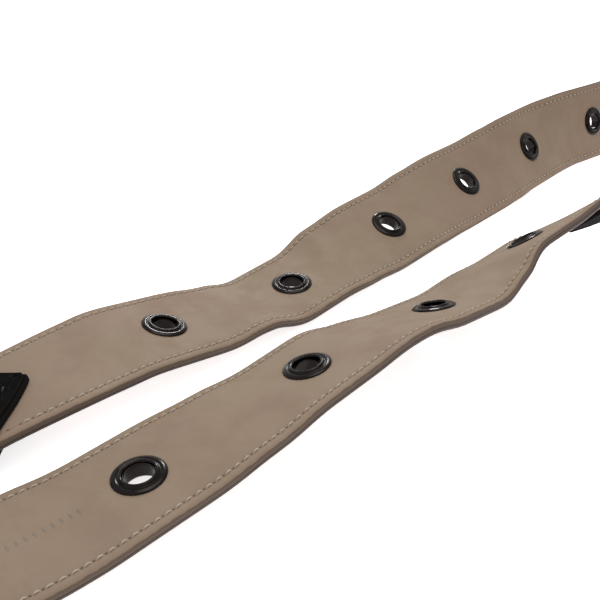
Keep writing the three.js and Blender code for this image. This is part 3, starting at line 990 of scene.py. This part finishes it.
def rimmed(side):
    """Black thread round a pad's underside."""
    route = routes[side]
    stop = PAD["start"] + PAD["length"]
    places = stitch_places(route, PAD["start"] + PAD["seam_start"], stop - PAD["seam_start"])
    across, height = PAD["half"] - PAD["seam_inset"], PAD["under"] + 0.3
    runs = [(route.frames(places), way * across, height, -1) for way in (1, -1)]
    return sewn(f"pad_stitching_{side}", runs, black_thread, "straps")


for side in ("left", "right"):
    print(pad(side).name, rimmed(side).name)

# %% [markdown]
# ## End tabs
#
# Each tab is one strip, folded round the bar of its ring, with a point on both tongues and a second,
# smaller layer over the upper one. The strip is a band again. Its frames first run in from the upper
# point, then turn half round the bar, then run out to the lower point.

# %% Tabs
def fold_frames(route, distances, inner):
    """Frames of a strip that follows a route, folded at the route's start. Below zero is the upper side."""
    half_turn = math.pi * inner
    upper = distances < 0
    bend = (distances >= 0) & (distances < half_turn)
    along_route = np.where(upper, -distances, np.where(bend, 0.0, distances - half_turn))
    turn = np.where(upper, 0.0, np.where(bend, distances / inner, math.pi))[:, None]
    centre, along, left, face = route.frames(along_route)
    out = face * np.cos(turn) - along * np.sin(turn)
    way = -along * np.cos(turn) - face * np.sin(turn)
    base = centre - face * (STACK / 2) + out * inner
    return base, way, -left, out


def strip(name, route, start, stop, reach_at, rise, thick, finish, body, nodes):
    """A leather strip along the fold, with rounded, painted edges."""
    distances = np.append(np.arange(start, stop, 0.9), stop)
    frames = fold_frames(route, distances, FOLD)
    t = thick
    top = [(17.5, t), (10, t), (5, t), (3.8, t - 0.03), (3.0, t - 0.14), (2.2, t - 0.02), (1.2, t - 0.01)]
    rim = [(0.6, t - 0.1), (0.25, t - 0.28), (0.05, t - 0.55), (-0.1, 0.5 * t), (-0.15, 0.25)]
    under = [(-0.2, 0.08), (0.4, 0.0), (5, 0.0), (17.5, 0.0)]
    rows = [(side, inset, height + rise) for side, inset, height in section(top + rim, under)]
    points, faces, lay = band(frames, distances, reach_at(distances), rows)
    return shown(name, points, faces, finish, body, nodes, lay)


def tab(side):
    route = routes[side]
    reach = TAB["length"]
    bend = math.pi * FOLD
    whole = strip(
        f"tab_{side}",
        route,
        -reach,
        bend + reach,
        lambda d: pointed(HALF, TAB["blunt"], np.minimum(reach + d, bend + reach - d)),
        0.0,
        TAB["thick"],
        black,
        "straps",
        [f"end_tab_{side}"],
    )
    over = strip(
        f"tab_overlay_{side}",
        route,
        -(reach - TAB["step"]),
        -TAB["over_start"],
        lambda d: pointed(HALF - TAB["narrow"], TAB["blunt"], reach - TAB["step"] + d),
        TAB["thick"] + 0.02,
        TAB["over"],
        black,
        "straps",
        [],
    )
    return whole, over


def tab_thread(side):
    """Two rows of black stitches down a tab's upper side, and a V along its point."""
    route = routes[side]
    height = TAB["thick"] + TAB["over"] + 0.1
    pitch = STITCH["pitch"] / MM
    tip = TAB["length"] - TAB["step"]
    shoulder = tip - (HALF - TAB["narrow"]) + TAB["blunt"]
    straight = np.arange(TAB["seam_start"], shoulder - 1, pitch)
    slant = np.arange(shoulder, tip - 4.5, pitch / math.sqrt(2))
    runs = []
    for way in (1, -1):
        for places, slope in ((straight, 0.0), (slant, 1.0)):
            centre, along, left, face = fold_frames(route, -places, FOLD)
            inset = TAB["narrow"] + TAB["seam_inset"] + slope * (places - shoulder + 1.2)
            across = way * (HALF - inset)
            line = along + left * way * slope
            line /= np.linalg.norm(line, axis=1, keepdims=True)
            row = centre + left * across[:, None]
            runs.append(((row, line, np.cross(face, line), face), 0.0, height, 1))
    return sewn(f"tab_stitching_{side}", runs, black_thread, "straps")


for side in routes:
    print([piece.name for piece in tab(side)], tab_thread(side).name)

# %% [markdown]
# ## Back patch
#
# Two Y-shaped plates hold the three straps between them. The outline is worked out from the arms: pointed
# ends, and the corners where neighbouring arms meet, rounded off. The inside is filled with triangles, and
# each point's true distance in from the outline gives its height on the rounded edge or in the channel.

# %% Patch outline
ARMS = [(math.pi - PATCH["spread"], ARM_TIP), (math.pi + PATCH["spread"], ARM_TIP)]
ARMS += [(2 * math.pi, PATCH["rear"])]


def patch_corners():
    """The outline's corners in order, each with the radius that rounds it."""
    found = []
    for i, (turn, reach) in enumerate(ARMS):
        along = np.array([math.cos(turn), math.sin(turn)])
        side = np.array([-along[1], along[0]])
        shoulder = reach - HALF + TAB["blunt"]
        tip = [(shoulder, -HALF), (reach, -TAB["blunt"]), (reach, TAB["blunt"]), (shoulder, HALF)]
        for far, across in tip:
            found.append((far * along + across * side, 4.0 if far == shoulder else 0.8))
        whole_turn = 2 * math.pi if i == len(ARMS) - 1 else 0
        following = ARMS[(i + 1) % len(ARMS)][0] + whole_turn
        half_angle = (following - turn) / 2
        middle = turn + half_angle
        reach_in = HALF / math.sin(half_angle)
        found.append((reach_in * np.array([math.cos(middle), math.sin(middle)]), 5.0))
    return found


def rounded(corners, steps=8, spacing=1.2):
    """A closed line through corners, each cut by an arc, with even points on the straights."""
    line = []
    count = len(corners)
    for i, (corner, radius) in enumerate(corners):
        before = corners[i - 1][0] - corner
        after = corners[(i + 1) % count][0] - corner
        u, v = before / np.linalg.norm(before), after / np.linalg.norm(after)
        angle = math.acos(np.clip(u @ v, -1, 1))
        longest = 0.45 * min(np.linalg.norm(before), np.linalg.norm(after))
        cut = min(radius / math.tan(angle / 2), longest)
        line += [corner + u * cut * (1 - t) ** 2 + v * cut * t**2 for t in np.linspace(0, 1, steps)]
    even = []
    for a, b in zip(line, line[1:] + line[:1]):
        parts = max(1, int(np.linalg.norm(b - a) / spacing))
        even += [a + (b - a) * k / parts for k in range(parts)]
    return np.array(even)


def normals(steps):
    return np.stack([-steps[:, 1], steps[:, 0]], 1) / np.linalg.norm(steps, axis=1, keepdims=True)


def inward(line, distance):
    """A closed line moved in by a distance along the bisectors of its corners."""
    before, after = normals(line - np.roll(line, 1, 0)), normals(np.roll(line, -1, 0) - line)
    bisector = before + after
    bisector /= np.linalg.norm(bisector, axis=1, keepdims=True)
    return line + distance * bisector / np.maximum((bisector * before).sum(1), 0.5)[:, None]


def depth_in(points, line):
    """How far each point is from a closed line, and how far along the line its nearest place is."""
    start, step = line, np.roll(line, -1, 0) - line
    span = (step**2).sum(1)
    offset = points[:, None] - start[None]
    share = np.clip((offset * step).sum(2) / span, 0, 1)
    reach = np.linalg.norm(offset - share[..., None] * step, axis=2)
    nearest = reach.argmin(1)
    rows = np.arange(len(points))
    passed = np.concatenate([[0], np.cumsum(np.sqrt(span))[:-1]])
    return reach[rows, nearest], passed[nearest] + share[rows, nearest] * np.sqrt(span)[nearest]


outline = rounded(patch_corners())
print("patch outline:", len(outline), "points")

# %% Patch plates and their thread
PLATE_INSETS = [0.0, 0.05, 0.25, 0.6, 1.2, 2.0, 2.7, 3.4, 4.2, 6.0]
PLATE_DEPTHS = [0.5, 0.25, 0.1, 0.02, 0.0, 0.02, 0.16, 0.02, 0.0, 0.0]


def plate_net():
    """Flat points and triangles inside the outline, close together where the plate's edge is shaped."""
    rings = [outline]
    for inset in PLATE_INSETS[1:]:
        ring = inward(outline, inset)
        rings.append(ring[depth_in(ring, outline)[0] > inset - 0.02])
    flat = np.vstack(rings)
    count = len(outline)
    loop = [(i, (i + 1) % count) for i in range(count)]
    net = delaunay_2d_cdt([Vector(p) for p in flat.tolist()], loop, [], 1, 1e-5)
    return np.array([tuple(p) for p in net[0]]), [tuple(face) for face in net[2]]


net_points, net_faces = plate_net()
net_depth, net_run = depth_in(net_points, outline)


def plate(name, bottom, top, up, node):
    """One plate. Its finished side is up or down, and the other is flat."""
    fine, plain = (top, bottom) if up else (bottom, top)
    sunk = np.interp(net_depth, PLATE_INSETS, PLATE_DEPTHS) * (-1 if up else 1)
    count = len(net_points)
    fine_side = np.column_stack([net_points, fine + sunk])
    plain_side = np.column_stack([net_points, np.full(count, plain)])
    used = dict.fromkeys(edge for face in net_faces for edge in zip(face, face[1:] + face[:1]))
    rim = [(a, b) for a, b in used if (b, a) not in used]
    faces = list(net_faces) + [tuple(count + i for i in reversed(face)) for face in net_faces]
    faces += [(b, a, count + a, count + b) for a, b in rim]
    fine_lay = np.column_stack([net_run, net_depth])
    plain_lay = np.column_stack([net_run, np.where(net_depth < 0.02, -1.0, 9.0)])
    points, lay = np.vstack([fine_side, plain_side]), np.vstack([fine_lay, plain_lay])
    piece = shown(name, points, faces, black, "straps", [node], lay)
    for side in routes:
        bored(piece, posts(routes[side], [rivet_place(side)], RIVET["bore"], -2 * FACE, FACE))
    return piece


def patch_thread(name, height, up):
    """Stitches all round a plate, on its channel."""
    row = inward(outline, STITCH["inset"] / MM)
    row = row[depth_in(row, outline)[0] > STITCH["inset"] / MM - 0.1]
    closed = np.vstack([row, row[:1]])
    steps = np.concatenate([[0], np.cumsum(np.linalg.norm(np.diff(closed, axis=0), axis=1))])
    count = round(steps[-1] / (STITCH["pitch"] / MM))
    places = np.linspace(0, steps[-1], count, endpoint=False)
    x, y = (np.interp(places, steps, closed[:, k]) for k in range(2))
    ahead = [np.interp((places + 0.4) % steps[-1], steps, closed[:, k]) for k in range(2)]
    along = np.stack([ahead[0] - x, ahead[1] - y, np.zeros(count)], 1)
    along /= np.linalg.norm(along, axis=1, keepdims=True)
    face = np.tile([0, 0, 1.0], (count, 1))
    centre = np.stack([x, y, np.full(count, height)], 1)
    frames = (centre, along, np.cross(face, along), face)
    return sewn(name, [(frames, 0.0, 0.0, up)], black_thread, "straps")


TOP_PLATE = FACE + GAP
print(plate("patch_under", 0.0, PATCH["thick"], False, "back_patch_under").name)
print(plate("patch_top", TOP_PLATE - 0.25, TOP_PLATE + PATCH["thick"], True, "back_patch_top").name)
print(patch_thread("patch_stitching", TOP_PLATE + PATCH["thick"] - 0.05, 1).name)

# %% [markdown]
# ## Patch rivets
#
# A domed rivet ties each strap into the patch. Like the eyelets, it is one spun outline.

# %% Rivets
def rivet_outline():
    bottom, seat = GAP - FACE, GAP + PATCH["thick"]
    rise = np.linspace(0, 0.48 * math.pi, 8)
    dome = [(3.6 * math.cos(a), seat + 0.35 + 1.05 * math.sin(a)) for a in rise]
    shank = [(0.01, bottom), (1.5, bottom), (1.5, seat), (3.3, seat), (3.58, seat + 0.12)]
    return shank + dome + [(0.01, seat + 1.4)]


rivet_mesh = spun("patch_rivet", rivet_outline(), 40)
rivet_mesh.materials.append(gunmetal)
for side, route in routes.items():
    node = f"patch_rivet_{side}"
    stood(f"fine_{node}", rivet_mesh, route, rivet_place(side), "straps", node)
print("rivets:", len(routes))

# %% [markdown]
# ## Rear elastic
#
# Ribbed webbing: the warp cords stand up as ridges along its length, so they belong in the mesh, and the
# much finer crossing weave belongs in the material.

# %% Elastic
def elastic():
    route = routes["rear"]
    stop = REAR_FOLD - REAR_START
    places = np.linspace(STRAP_START, stop, 150)
    insets = np.arange(17.5, 0.4, -0.35)
    ridge = 0.16 * np.cos(2 * math.pi * insets / 1.4)
    upper = [(inset, -0.16 + height) for inset, height in zip(insets, ridge)]
    rim = [(0.35, -0.35), (0.1, -0.75), (0.0, -1.2), (0.0, -STACK + 1.2), (0.1, -STACK + 0.75)]
    lower = [(0.35, -STACK + 0.35)]
    lower += [(inset, -STACK + 0.16 - height) for inset, height in zip(insets[::-1], ridge[::-1])]
    reaches = np.full(len(places), HALF)
    points, faces, lay = band(route.frames(places), places, reaches, section(upper + rim, lower))
    piece = shown("elastic_strap", points, faces, webbing, "straps", ["rear_elastic"], lay)
    return bored(piece, posts(route, [rivet_place("rear")], RIVET["bore"], -STACK - 2, 2))


print(elastic().name)

# %% [markdown]
# ## Clips
#
# Ring, body and jaw are stamped metal, and the exact solids already have the right shape. What they lack
# is the soft edge that tumbling gives real stampings. A Weld and a Bevel modifier add it without touching
# the solids. The spring, pin and grip are made new, because a coil, a turned head and ribs need real shape.

# %% Soft edges on the stampings
def softened(node, finish, width, segments=3):
    piece = frame["nodes"][node]
    piece.data.materials.clear()
    piece.data.materials.append(finish)
    weld = piece.modifiers.new("one skin", "WELD")
    weld.merge_threshold = 1e-6
    bevel = piece.modifiers.new("soft edges", "BEVEL")
    bevel.width = width * MM
    bevel.segments = segments
    bevel.limit_method = "ANGLE"
    bevel.angle_limit = math.radians(28)
    bevel.harden_normals = True
    return piece


for side in routes:
    softened(f"{side}_ring", clip_metal, 0.5, 4)
    softened(f"{side}_clip_body", clip_metal, 0.28)
    softened(f"{side}_clip_jaw", clip_metal, 0.3)
print("stampings:", 3 * len(routes))

# %% Pins, springs and grips
CLIP = {"pin": 1.0, "head": 1.8, "coil": 1.85, "wire": 0.36, "turns": 7}


def across_clip(name, mesh, node, finish):
    """Lays a turned mesh across a clip, at the middle of the node that it stands for."""
    low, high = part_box(node)
    piece = bpy.data.objects.new(name, mesh)
    piece.matrix_world = Matrix.Translation((low + high) / 2) @ Matrix.Rotation(math.pi / 2, 4, "X")
    bpy.context.scene.collection.objects.link(piece)
    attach(piece, bodies[node])
    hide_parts(node)
    return piece


def pin_mesh(half_length):
    pin, head, seat = CLIP["pin"], CLIP["head"], half_length - 0.8
    dome = [(head * math.cos(a), half_length - 0.55 + 0.5 * math.sin(a)) for a in np.linspace(0, 1.45, 6)]
    upper = [(pin, seat), (head - 0.1, seat), (head, half_length - 0.7)] + dome + [(0.01, half_length)]
    lower = [(r, -z) for r, z in reversed(upper)]
    mesh = spun("pin", lower + upper, 28)
    mesh.materials.append(steel)
    return mesh


def spring(side):
    """The coil of a round-wire torsion spring, wound round the middle of the spring's place in the clip."""
    node = f"{side}_clip_spring"
    low, high = (np.array(corner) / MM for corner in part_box(node))
    middle = (low + high) / 2
    outward = 1 if side == "rear" else -1
    half_length = (high[1] - low[1]) / 2 - CLIP["wire"]
    t = np.linspace(0, 1, 22 * CLIP["turns"] + 1)
    turn = 2 * math.pi * CLIP["turns"] * t
    y = (2 * t - 1) * half_length
    coil = np.stack([CLIP["coil"] * np.cos(turn), y, CLIP["coil"] * np.sin(turn)], 1)
    path = coil * [outward, 1, 1] + middle
    along = np.gradient(path, axis=0)
    along /= np.linalg.norm(along, axis=1, keepdims=True)
    out = path - middle
    out[:, 1] = 0
    out /= np.linalg.norm(out, axis=1, keepdims=True)
    side_way = np.cross(along, out)
    sides = 10
    around = np.linspace(0, 2 * math.pi, sides, endpoint=False)
    points = [
        p + CLIP["wire"] * (math.cos(q) * o + math.sin(q) * s)
        for p, o, s in zip(path, out, side_way)
        for q in around
    ]
    faces = tube_faces(len(path), sides)
    return shown(f"{side}_spring_coil", points, faces, steel, bodies[node], [node])


def ribbed_grip(side):
    """A rubber pad with ribs across it, so that it bites into the cloth."""
    node = f"{side}_clip_grip"
    low, high = (np.array(corner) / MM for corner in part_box(node))
    steps = np.linspace(low[0], high[0], 73)
    ribs = high[2] - 0.22 + 0.22 * np.cos((steps - low[0]) / (high[0] - low[0]) * 2 * math.pi * 9)
    outline = [(steps[0], low[2])] + list(zip(steps, ribs)) + [(steps[-1], low[2])]
    count = len(outline)
    insets = [(low[1], 0.25), (low[1] + 0.25, 0.0), (high[1] - 0.25, 0.0), (high[1], 0.25)]
    points = [(x, y, max(z - drop, low[2])) for y, drop in insets for x, z in outline]
    faces = tube_faces(len(insets), count)
    return shown(f"{side}_grip_pad", points, faces, rubber, bodies[node], [node], smooth=False)


for side in routes:
    pin_low, pin_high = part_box(f"{side}_clip_pin")
    shaft = pin_mesh((pin_high.y - pin_low.y) / 2 / MM)
    across_clip(f"{side}_pivot_pin", shaft, f"{side}_clip_pin", steel)
    print(spring(side).name, ribbed_grip(side).name)

# %% [markdown]
# ## Tooling
#
# A short row of plain narrow lozenges is tooled into the right strap near its tab. Each is a thin plaque
# laid just on the leather, and its darker colour is painted shade for the sunken floor, because a bump
# alone would vanish from the side.

# %% Tooled row
TOOL = {"first": 66.0, "count": 12, "pitch": 2.05, "along": 0.42, "across": 1.35}


def tooling(side):
    distances = TOOL["first"] + TOOL["pitch"] * np.arange(TOOL["count"])
    centre, along, left, face = routes[side].frames(distances)
    points, faces = [], []
    shape = [(TOOL["along"], 0), (0, TOOL["across"]), (-TOOL["along"], 0), (0, -TOOL["across"])]
    for c, a, l, f in zip(centre, along, left, face):
        start = len(points)
        points += [c + x * a + y * l + 0.012 * f for x, y in shape]
        points += [c + 0.5 * x * a + 0.5 * y * l + 0.02 * f for x, y in shape]
        points += [c + x * a + y * l - 0.3 * f for x, y in shape]
        for j in range(4):
            k = (j + 1) % 4
            faces.append((start + j, start + k, start + 4 + k, start + 4 + j))
            faces.append((start + 8 + j, start + 8 + k, start + k, start + j))
        faces.append((start + 4, start + 5, start + 6, start + 7))
        faces.append((start + 11, start + 10, start + 9, start + 8))
    lay = np.tile([0.0, 8.0], (len(points), 1))
    name = f"tooling_{side}"
    return shown(name, points, faces, tooling_shade, "straps", lay=lay, smooth=False)


# Darker leather colours for the lozenges: painted shade for their pressed floors.
tooling_shade = leather(
    "tooling_painted_shade",
    light=(0.165, 0.125, 0.092),
    dark=(0.145, 0.108, 0.079),
    warm=(0.155, 0.112, 0.085),
    edge=(0.060, 0.040, 0.030),
    cells=1900.0,
    creases=0.35,
    roughness=0.55,
    relief=0.35,
)
print(tooling("right").name)
